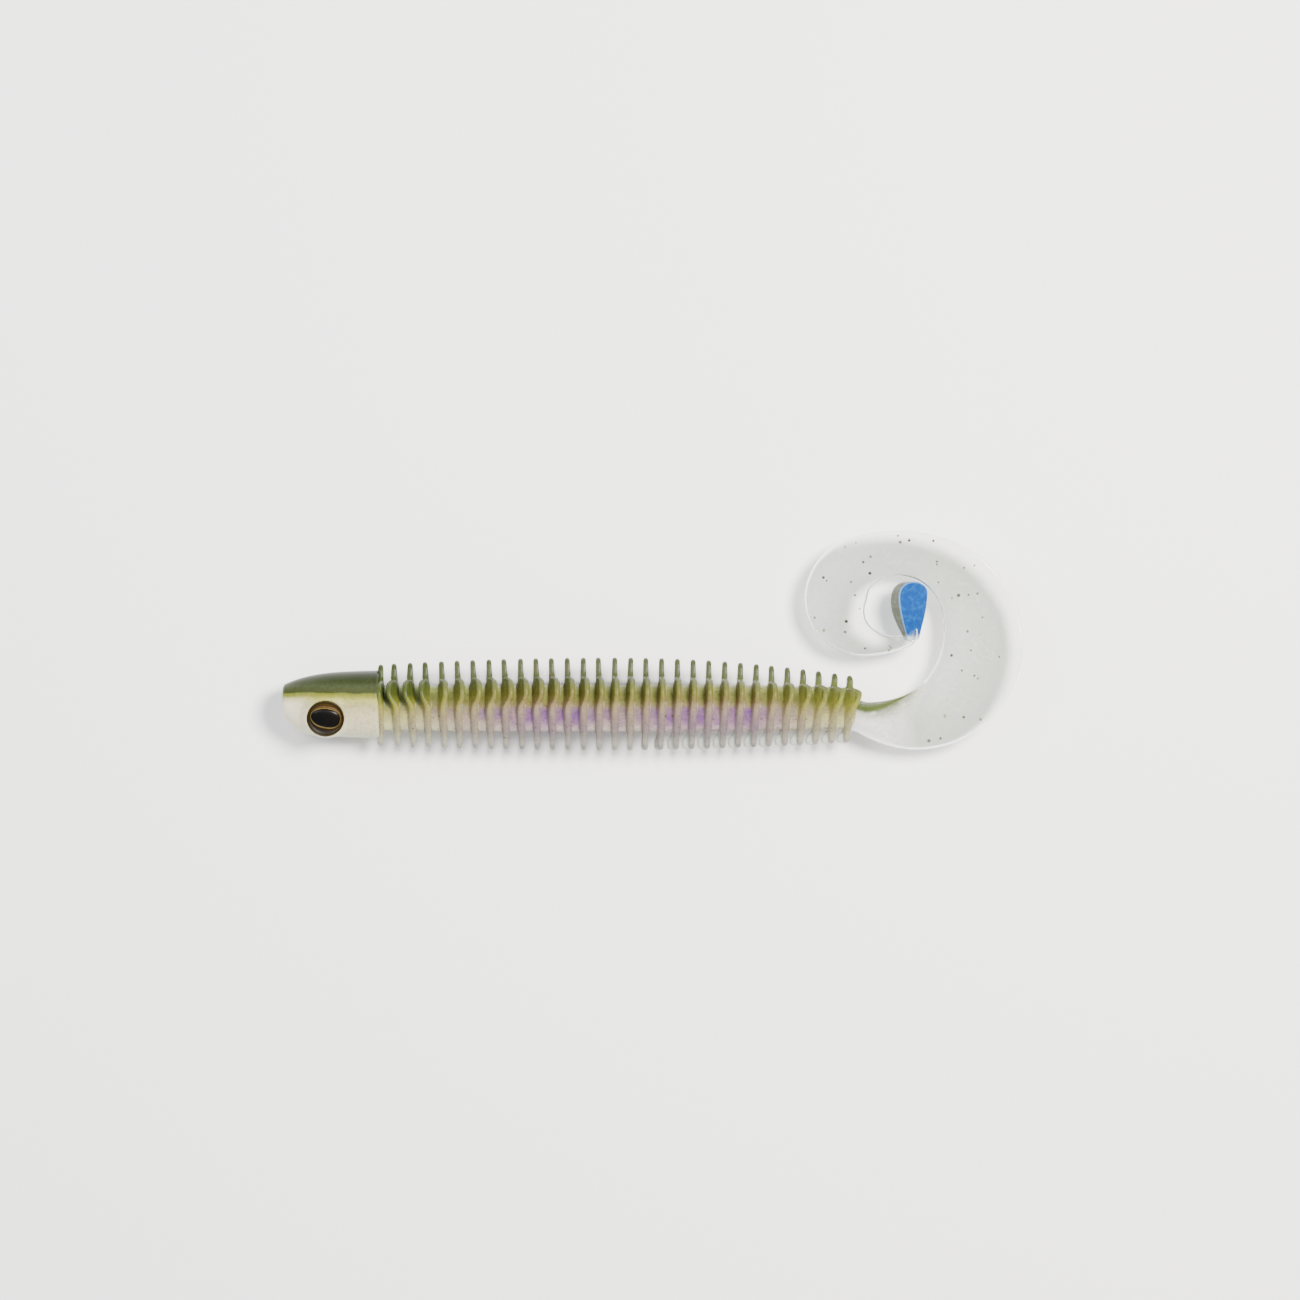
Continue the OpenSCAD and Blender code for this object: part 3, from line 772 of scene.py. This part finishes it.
def makeRing(k):
    # the outline's points drawn in towards the core in steps, on both sides of the middle plane at the half
    # thickness there, then bent
    outline = ringOutline(k)
    core = coreRadius(k)
    columns = len(outline)
    reach = np.linalg.norm(outline, axis=1)
    unit = outline / reach[:, None]
    inner = core - ringSize["sunk"]
    # height above the inner radius, closer together at the root and at the rim
    share = np.array([0, 0.10, 0.17, 0.23, 0.30, 0.40, 0.52, 0.64, 0.75])
    full = (reach - inner)[None, :]
    rimHalf = ringSize["rimHalf"]
    body = share[:, None] * (full - rimHalf) / 0.80
    quarter = np.linspace(0, math.pi / 2, 7)
    rim = full - rimHalf * (1 - np.sin(quarter))[:, None]
    heights = np.vstack([body, rim])
    half = ringHalfThickness(heights + inner - core, full - heights)
    sides = []
    for sign in (-1, 1):
        y, z = unit[:, 1] * (inner + heights), unit[:, 0] * (inner + heights)
        sides.append(np.stack([sign * half, y, z], -1))
    rows = np.concatenate([sides[0], sides[1][::-1][1:]])
    points = rows.reshape(-1, 3)
    wobble = finShape.normal(0, 1, 3) * finBend["wobble"]
    points = bendFin(points, k, wobble)
    if k == 0:
        points[:, 0] = np.maximum(points[:, 0], -0.6)
    points[:, 0] += ringX[k]
    values = {"violet": violetShare(k)}
    faces = [gridFaces(len(rows), columns, wrapRows=True)]
    ring = outwards(meshFromPoints("ringFin%02d" % (k + 1), points, faces, finVinyl, values))
    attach(ring, ringBody[ringNames[k]])
    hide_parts(ringNames[k])


coreSize = {
    "rows": 21, "columns": 96,
    "swell": 0.07, "swellAt": 0.40, "swellRun": 0.2,  # where each ring's root runs into it
    "dent": 0.012, "gap": 0.05,  # unevenness, and distance to the next core
}


def makeCore(k):
    # the core between two rings: its radius runs straight from one ring's to the next's, plus a bell-shaped
    # swelling near each ring, times a three-lobed unevenness that dies out at both ends
    rows, columns = coreSize["rows"], coreSize["columns"]
    u = np.linspace(0, 1, rows)
    radius = coreRadius(k) * (1 - u) + coreRadius(k + 1) * u
    fromRing = np.minimum(u, 1 - u) * pitch
    bell = np.exp(-((fromRing - coreSize["swellAt"]) / coreSize["swellRun"]) ** 2)
    radius = radius + coreSize["swell"] * bell
    angle = fullTurn(columns)
    r, a = np.meshgrid(radius, angle, indexing="ij")
    length = pitch - coreSize["gap"]
    x = np.repeat(ringX[k] + length * u, columns)
    dent = 1 + coreSize["dent"] * np.sin(3 * a + 1.7 * k) * np.sin(math.pi * u)[:, None]
    points = np.stack([x, (r * dent * np.sin(a)).ravel(), (r * dent * np.cos(a)).ravel()], -1)
    points = np.vstack([points, [[ringX[k], 0, 0], [ringX[k] + length, 0, 0]]])
    faces = cappedFaces(rows, columns)
    violet = np.concatenate([np.repeat(violetShare(k) * (1 - u) + violetShare(k + 1) * u, columns), [0, 0]])
    groove = np.concatenate([np.repeat(u, columns), [0, 1]])
    values = {"violet": violet, "groove": groove}
    core = outwards(meshFromPoints("core%02d" % (k + 1), points, faces, coreVinyl, values))
    # it turns with the ring ahead; the next ring's thick root hides where it turns
    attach(core, ringBody[ringNames[k]])


for k in range(ringCount):
    makeRing(k)
for k in range(ringCount - 1):
    makeCore(k)
print("rings and core made:", ringCount)


tailNames = sorted(n for n in frame["nodes"] if n.startswith("tail_") and n[5:].isdigit())
tailSize = {
    "startX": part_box(ringNames[-1])[1].x / mm + 0.7, "startY": -1.2, "heading": -18.0,
    # radius and angle of each arc of the middle line: levelling out, outer sweep, hook, run in, neck
    "arcs": [(15.4, 22.0), (11.4, 205.0), (5.7, 133.0), (9.0, 35.0), (1.1, 76.0)],
    "stemHeight": 4.2, "stemLength": 6.5, "thickness": 0.8,
    "bellyWidth": 11.0, "waistWidth": 6.1, "hookWidth": 8.4, "neckWidth": 1.9,
    "bellyAt": 0.31, "waistAt": 0.615, "hookAt": 0.775,
    "twist": math.radians(33), "twistRun": 3.0,
    "stemRound": 0.95, "neckFuller": 0.08, "neckRun": 2.5, "neckEnd": 1.2,
    "ripple": 0.10, "rippleTurn": 0.55,  # mm, and radians per mm along the sheet
    "oliveRun": 10.5, "milkRun": 7.5,  # how far the two bleed from the body
}
arcLengths = [r * math.radians(a) for r, a in tailSize["arcs"]]
tailLength = sum(arcLengths)
sectionLength = (tailLength - tailSize["stemLength"]) / len(tailNames)


def tailLine(s):
    # x, y and heading (radians) after going s along the arcs; before 0 it runs straight back
    s = np.asarray(s, float)
    x, y = np.full(s.shape, tailSize["startX"]), np.full(s.shape, tailSize["startY"])
    heading = np.full(s.shape, math.radians(tailSize["heading"]))
    left = s.copy()
    back = np.minimum(left, 0)
    x, y = x + back * np.cos(heading), y + back * np.sin(heading)
    left = np.maximum(left, 0)
    for n, (radius, turn) in enumerate(tailSize["arcs"]):
        last = n == len(tailSize["arcs"]) - 1
        go = left if last else np.minimum(left, radius * math.radians(turn))
        bend = go / radius
        x = x + radius * (np.sin(heading + bend) - np.sin(heading))
        y = y - radius * (np.cos(heading + bend) - np.cos(heading))
        heading, left = heading + bend, left - go
    return x, y, heading


def easeBetween(t, a, b):
    # half a cosine wave from a to b
    return a + (b - a) * (1 - np.cos(math.pi * np.clip(t, 0, 1))) / 2


def tailWidth(s):
    # a quarter sine from stem to belly, then half cosines in to the waist, out to the hook, in to the neck
    z = tailSize
    belly, waist, hook = (z[k] * tailLength for k in ("bellyAt", "waistAt", "hookAt"))
    s = np.asarray(s, float)
    w = z["stemHeight"] + (z["bellyWidth"] - z["stemHeight"]) * np.sin(math.pi / 2 * np.clip(s / belly, 0, 1))
    w = np.where(s > belly, easeBetween((s - belly) / (waist - belly), z["bellyWidth"], z["waistWidth"]), w)
    w = np.where(s > waist, easeBetween((s - waist) / (hook - waist), z["waistWidth"], z["hookWidth"]), w)
    run = tailLength - z["neckEnd"] - hook
    return np.where(s > hook, easeBetween((s - hook) / run, z["hookWidth"], z["neckWidth"]), w)


def tailHalfThickness(s):
    # round at the stem, easing down to the sheet, a little fuller at the neck
    flat = tailSize["thickness"] / 2
    root = tailSize["stemHeight"] / 2 * tailSize["stemRound"]
    stem = easeBetween(np.asarray(s) / tailSize["stemLength"], root, flat)
    run = tailSize["neckRun"]
    return stem + tailSize["neckFuller"] * smooth((np.asarray(s) - tailLength + run) / run)


sheetLoop = {"flat": 22, "round": 9}


def sheetPoints(s):
    # at each s a closed loop with two flat faces and two half-round edges, turned by the neck's twist
    s = np.asarray(s, float)
    x, y, heading = tailLine(s)
    half, thick = tailWidth(s) / 2, tailHalfThickness(s)
    edge = np.minimum(thick, half)
    across = np.linspace(-1, 1, sheetLoop["flat"])
    turn = np.linspace(math.pi / 2, -math.pi / 2, sheetLoop["round"] + 2)[1:-1]
    v = np.concatenate([across, np.ones(len(turn)), across[::-1], -np.ones(len(turn))])
    c = np.concatenate([across * 0, np.cos(turn), across * 0, -np.cos(turn)])
    u = np.concatenate([across * 0 + 1, np.sin(turn), across * 0 - 1, -np.sin(turn)])
    side = v[None, :] * (half - edge)[:, None] + c[None, :] * edge[:, None]
    up = u[None, :] * thick[:, None]
    run = tailSize["twistRun"]
    twist = tailSize["twist"] * smooth((s - tailLength + run) / run)[:, None]
    fade = smooth((s - 8) / 6) * smooth((tailLength - 4 - s) / 6)
    ripple = (tailSize["ripple"] * np.sin(s * tailSize["rippleTurn"]) * fade)[:, None]
    across2 = side * np.cos(twist) + up * np.sin(twist)
    up2 = -side * np.sin(twist) + up * np.cos(twist) + ripple * (side / 5)
    px = x[:, None] - np.sin(heading)[:, None] * across2
    py = y[:, None] + np.cos(heading)[:, None] * across2
    inner = side / np.maximum(half, 1e-6)[:, None]
    return np.stack([px, py, up2], -1), inner


def makeSheet(name, sFrom, sTo, joint, closeStart=False):
    rows = max(int((sTo - sFrom) / 0.18), 12)
    s = np.linspace(sFrom, sTo, rows)
    grid, inner = sheetPoints(s)
    columns = grid.shape[1]
    points = grid.reshape(-1, 3)
    along2 = np.repeat(s, columns)
    inner = inner.ravel()
    # olive bleeds along the inner edge of the root and dies out; the root below it is milky
    reach = np.clip(1 - (along2 - 0.5) / tailSize["oliveRun"], 0, 1)
    olive = np.clip(0.5 + (inner - (1 - 0.95 * reach ** 1.1)) * 1.3, -0.4, 1.2) * (reach > 0)
    frost = np.clip(1 - along2 / tailSize["milkRun"], 0, 1)
    faces = [gridFaces(rows, columns)]
    if closeStart:
        points = np.vstack([points, grid[0].mean(0)])
        faces.append(poleFaces(len(points) - 1, np.arange(columns)))
        olive, frost = np.append(olive, 0), np.append(frost, 1)
    sheet = meshFromPoints(name, points, faces, clearVinyl, {"olive": olive, "frost": frost})
    x, y, heading = (float(v) for v in tailLine(joint))
    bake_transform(sheet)
    return sheet


def sectionMiddle(n):
    return tailSize["stemLength"] + sectionLength * (n - 0.5)


def sectionJoint(n):
    return tailSize["stemLength"] + sectionLength * (n - 1)


stemMiddle = 3.4
root = makeSheet("tailRoot", -2.2, stemMiddle, -0.2, True)
first = makeSheet("tailSheet00", stemMiddle, sectionMiddle(1), sectionJoint(1))
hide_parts("tail_stem")
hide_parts(tailNames[0])
for n in range(1, len(tailNames)):
    piece = makeSheet(
        "tailSheet%02d" % n,
        sectionMiddle(n), sectionMiddle(n + 1), sectionJoint(n + 1),
    )
    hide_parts(tailNames[n])
neckEnd = tailLength + 0.3
makeSheet("tailNeck", sectionMiddle(len(tailNames)), neckEnd, tailLength - 0.1)
print("tail sheet made:", round(tailLength, 1), "mm along")


def makeCoreEnd():
    # the short stretch of core behind the last ring, rounded over in a quarter ellipse to the tail's stem
    columns, stem = coreSize["columns"], 1.7
    k = ringCount - 1
    r = coreRadius(k)
    end = pitch * 0.5
    turn = np.linspace(0, math.pi / 2, 12)
    x = np.concatenate([[0, 0.3], 0.35 + (end - 0.35) * np.sin(turn)])
    radius = np.concatenate([[r + 0.1, r + 0.1], stem + (r + 0.05 - stem) * np.cos(turn)])
    angle = fullTurn(columns)
    rr, a = np.meshgrid(radius, angle, indexing="ij")
    faces = cappedFaces(len(x), columns)
    x = np.repeat(x + ringX[k], columns)
    points = np.stack([x, (rr * np.sin(a)).ravel(), (rr * np.cos(a)).ravel()], -1)
    points = np.vstack([points, [[ringX[k], 0, 0], [ringX[k] + end, 0, 0]]])
    piece = outwards(meshFromPoints("coreEnd", points, faces, coreVinyl, {"violet": 0.0, "groove": 0.5}))
    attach(piece, ringBody[ringNames[k]])


makeCoreEnd()


tipSize = {
    "length": 7.8, "start": -0.9, "width": 4.9, "thick": 2.1, "neckThick": 1.1, "bevel": 0.22,
    "fullAt": 4.0, "thinFrom": 5.2, "thinRun": 1.8, "endThin": 0.18,  # the thickness along the drop
    "columns": 120,
}


def tipOutline():
    # a drop of five cubic curves: narrow neck, full left side, round end, straighter right side
    half, base, length = tipSize["width"] / 2, tailSize["neckWidth"] / 2, tipSize["length"]
    shoulder = length * 0.66
    left = bezier((-base, 0), (-base - 0.2, 1), (-half, shoulder * 0.55), (-half, shoulder), 20)
    crown = bezier((-half, shoulder), (-half, length * 0.93), (-half * 0.5, length), (0.1, length), 20)
    right = bezier((0.1, length), (half * 0.55, length), (half, length * 0.93), (half, length * 0.8), 14)
    foot = bezier((half, length * 0.8), (half * 0.85, length * 0.5), (base + 0.3, 1.2), (base, 0), 16)
    bottom = bezier((base, 0), (base * 0.4, -0.1), (-base * 0.4, -0.1), (-base, 0), 8)
    return evenly(np.vstack([left, crown, right, foot, bottom]), tipSize["columns"])


def makeTip():
    # the outline shrunk in steps towards a middle point gives the faces; between them a bevel and a side wall
    outline = tipOutline()
    middle = np.array([0.0, tipSize["length"] * 0.55])
    columns = len(outline)

    def thickness(v):
        # eased up from the neck, then thinned a little towards the round end
        z = tipSize
        full = smooth(v / z["fullAt"]) * (1 - z["endThin"] * smooth((v - z["thinFrom"]) / z["thinRun"]))
        return z["neckThick"] + (z["thick"] - z["neckThick"]) * full

    bevel = tipSize["bevel"]
    steps = [0.15, 0.35, 0.55, 0.72, 0.84, 0.90]
    rows, side = [], []
    spread = np.linalg.norm(outline - middle, axis=1)
    for f in steps:
        p = middle + (outline - middle) * f
        rows.append(np.column_stack([p, thickness(p[:, 1]) / 2]))
        side.append(0.30 * f)
    for a in np.linspace(0, math.pi / 2, 5):
        shrink = 1 - bevel * (1 - np.sin(a)) / spread
        p = middle + (outline - middle) * shrink[:, None]
        rows.append(np.column_stack([p, thickness(outline[:, 1]) / 2 - bevel * (1 - np.cos(a))]))
        side.append(0.32 + 0.3 * a / (math.pi / 2))
    for drop in (0.25, 0.5):
        rows.append(np.column_stack([outline, (thickness(outline[:, 1]) / 2 - bevel) * (1 - 2 * drop)]))
        side.append(1.0)
    front = np.array(rows[:-1])
    back = front[::-1] * [1, 1, -1]
    grid = np.concatenate([front, np.array(rows[-1:]), back])
    share = np.array(side[:-1] + side[-1:] + side[:-1][::-1])
    local = grid.reshape(-1, 3)
    top = thickness(middle[1]) / 2
    local = np.vstack([local, [*middle, top], [*middle, -top]])
    x, y, heading = (float(v) for v in tailLine(tailLength))
    c, s = math.cos(tailSize["twist"]), math.sin(tailSize["twist"])
    across = local[:, 0] * c + local[:, 2] * s
    up = -local[:, 0] * s + local[:, 2] * c
    ahead = np.array([math.cos(heading), math.sin(heading)])
    right = np.array([math.sin(heading), -math.cos(heading)])
    flat = np.array([x, y]) + np.outer(local[:, 1] + tipSize["start"], ahead) + np.outer(across, right)
    points = np.column_stack([flat, up])
    values = {
        "side": np.concatenate([np.repeat(share, columns), [0, 0]]),
        "neck": np.clip(1.2 - local[:, 1] / 0.6, 0, 1),
    }
    faces = cappedFaces(len(grid), columns)
    tip = outwards(meshFromPoints("tipBlade", points, faces, blueVinyl, values))
    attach(tip, "tail_tip")
    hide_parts("tail_tip")


makeTip()
print("tip made")


fleckSize = {"perSection": 5, "small": 0.14, "large": 0.27, "thick": 0.03, "seed": 5}


def makeFlecks():
    # hexagonal cut flakes, each turned at random inside the sheet, gathered by the section they lie in
    rng = np.random.default_rng(fleckSize["seed"])
    corner = fullTurn(6)
    ring = np.column_stack([np.cos(corner), np.sin(corner)])
    for n, body in enumerate(tailNames, start=1):
        count = fleckSize["perSection"]
        s = rng.uniform(sectionJoint(n) + 0.3, sectionJoint(n) + sectionLength - 0.3, count)
        x, y, heading = tailLine(s)
        v = rng.uniform(-0.82, 0.82, count) * (tailWidth(s) / 2)
        size = rng.uniform(fleckSize["small"], fleckSize["large"], count)
        tilt, spin = rng.uniform(-0.9, 0.9, count), rng.uniform(0, math.pi, count)
        groups, points = [], []
        for m in range(count):
            thick = fleckSize["thick"] / 2
            flat = np.vstack([np.column_stack([ring * size[m], np.full(6, h * thick)]) for h in (-1, 1)])
            ct, st = math.cos(tilt[m]), math.sin(tilt[m])
            flat = flat @ np.array([[1, 0, 0], [0, ct, st], [0, -st, ct]])
            cs, ss = math.cos(spin[m]), math.sin(spin[m])
            flat = flat @ np.array([[cs, ss, 0], [-ss, cs, 0], [0, 0, 1]])
            centre = [x[m] - math.sin(heading[m]) * v[m], y[m] + math.cos(heading[m]) * v[m], 0]
            start = 12 * m
            points.append(flat + centre)
            lower, upper = start + np.arange(6), start + 6 + np.arange(6)
            groups += [lower[None, ::-1], upper[None, :]]
            groups.append(np.column_stack([lower, np.roll(lower, -1), np.roll(upper, -1), upper]))
        flecks = meshFromPoints("flecks%02d" % n, np.vstack(points), groups, glitter)
        flecks.data.polygons.foreach_set("use_smooth", np.zeros(len(flecks.data.polygons), bool))
        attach(flecks, body)


makeFlecks()
print("glitter made")


stageSize = {"floor": 1.6, "gap": 0.0002}
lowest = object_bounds()[0].z


def makeStage():
    # a plain pale flat square of card under the worm
    material, tree, shader = newMaterial("pale matt card")
    feed(tree, shader, {"Base Color": linearColour("#fbfbfa"), "Roughness": 0.9})
    half = stageSize["floor"] / mm / 2
    z = (lowest - stageSize["gap"]) / mm
    corners = np.array([[-half, -half, z], [half, -half, z], [half, half, z], [-half, half, z]])
    floor = meshFromPoints("floor", corners, [np.array([[0, 1, 2, 3]])], material)


def addArea(name, place, target, size, watts, colour):
    light = bpy.data.lights.new(name, "AREA")
    light.shape, light.size, light.energy = "DISK", size, watts
    light.color = linearColour(colour)[:3]
    lamp = bpy.data.objects.new(name, light)
    bpy.context.scene.collection.objects.link(lamp)
    lamp.location = place
    aim = np.array(target) - np.array(place)
    lamp.rotation_euler = Vector(aim).to_track_quat("-Z", "Y").to_euler()


studio = {
    "middle": (0.049, 0.008, 0.0),
    "key": {"place": (0.24, 0.12, 0.44), "size": 0.16, "watts": 7.6, "colour": "#fffaf4"},
    "fill": {"place": (-0.22, 0.16, 0.40), "size": 0.34, "watts": 2.0, "colour": "#f4f7ff"},
    "room": "#f6f8fa", "roomStrength": 0.85,
    "cameraX": 0.0493, "cameraY": 0.0078, "distance": 0.90, "sensor": 36.0,
    "seenWidth": 0.1747,  # metres across the picture at the worm
}


def makeLightAndCamera():
    scene = bpy.context.scene
    world = scene.world or bpy.data.worlds.new("studio")
    scene.world = world
    world.use_nodes = True
    back = world.node_tree.nodes["Background"]
    feed(world.node_tree, back, {"Color": linearColour(studio["room"]), "Strength": studio["roomStrength"]})
    for word in ("key", "fill"):
        lamp = studio[word]
        addArea(word + "Light", lamp["place"], studio["middle"], lamp["size"], lamp["watts"], lamp["colour"])
    camera = bpy.data.cameras.new("camera")
    camera.sensor_width = studio["sensor"]
    camera.lens = studio["sensor"] * studio["distance"] / studio["seenWidth"]
    camera.clip_start = 0.01
    eye = bpy.data.objects.new("camera", camera)
    scene.collection.objects.link(eye)
    eye.location = (studio["cameraX"], studio["cameraY"], studio["distance"])
    eye.rotation_euler = (0, 0, 0)
    scene.camera = eye


makeStage()
makeLightAndCamera()
print("stage, light and camera made")
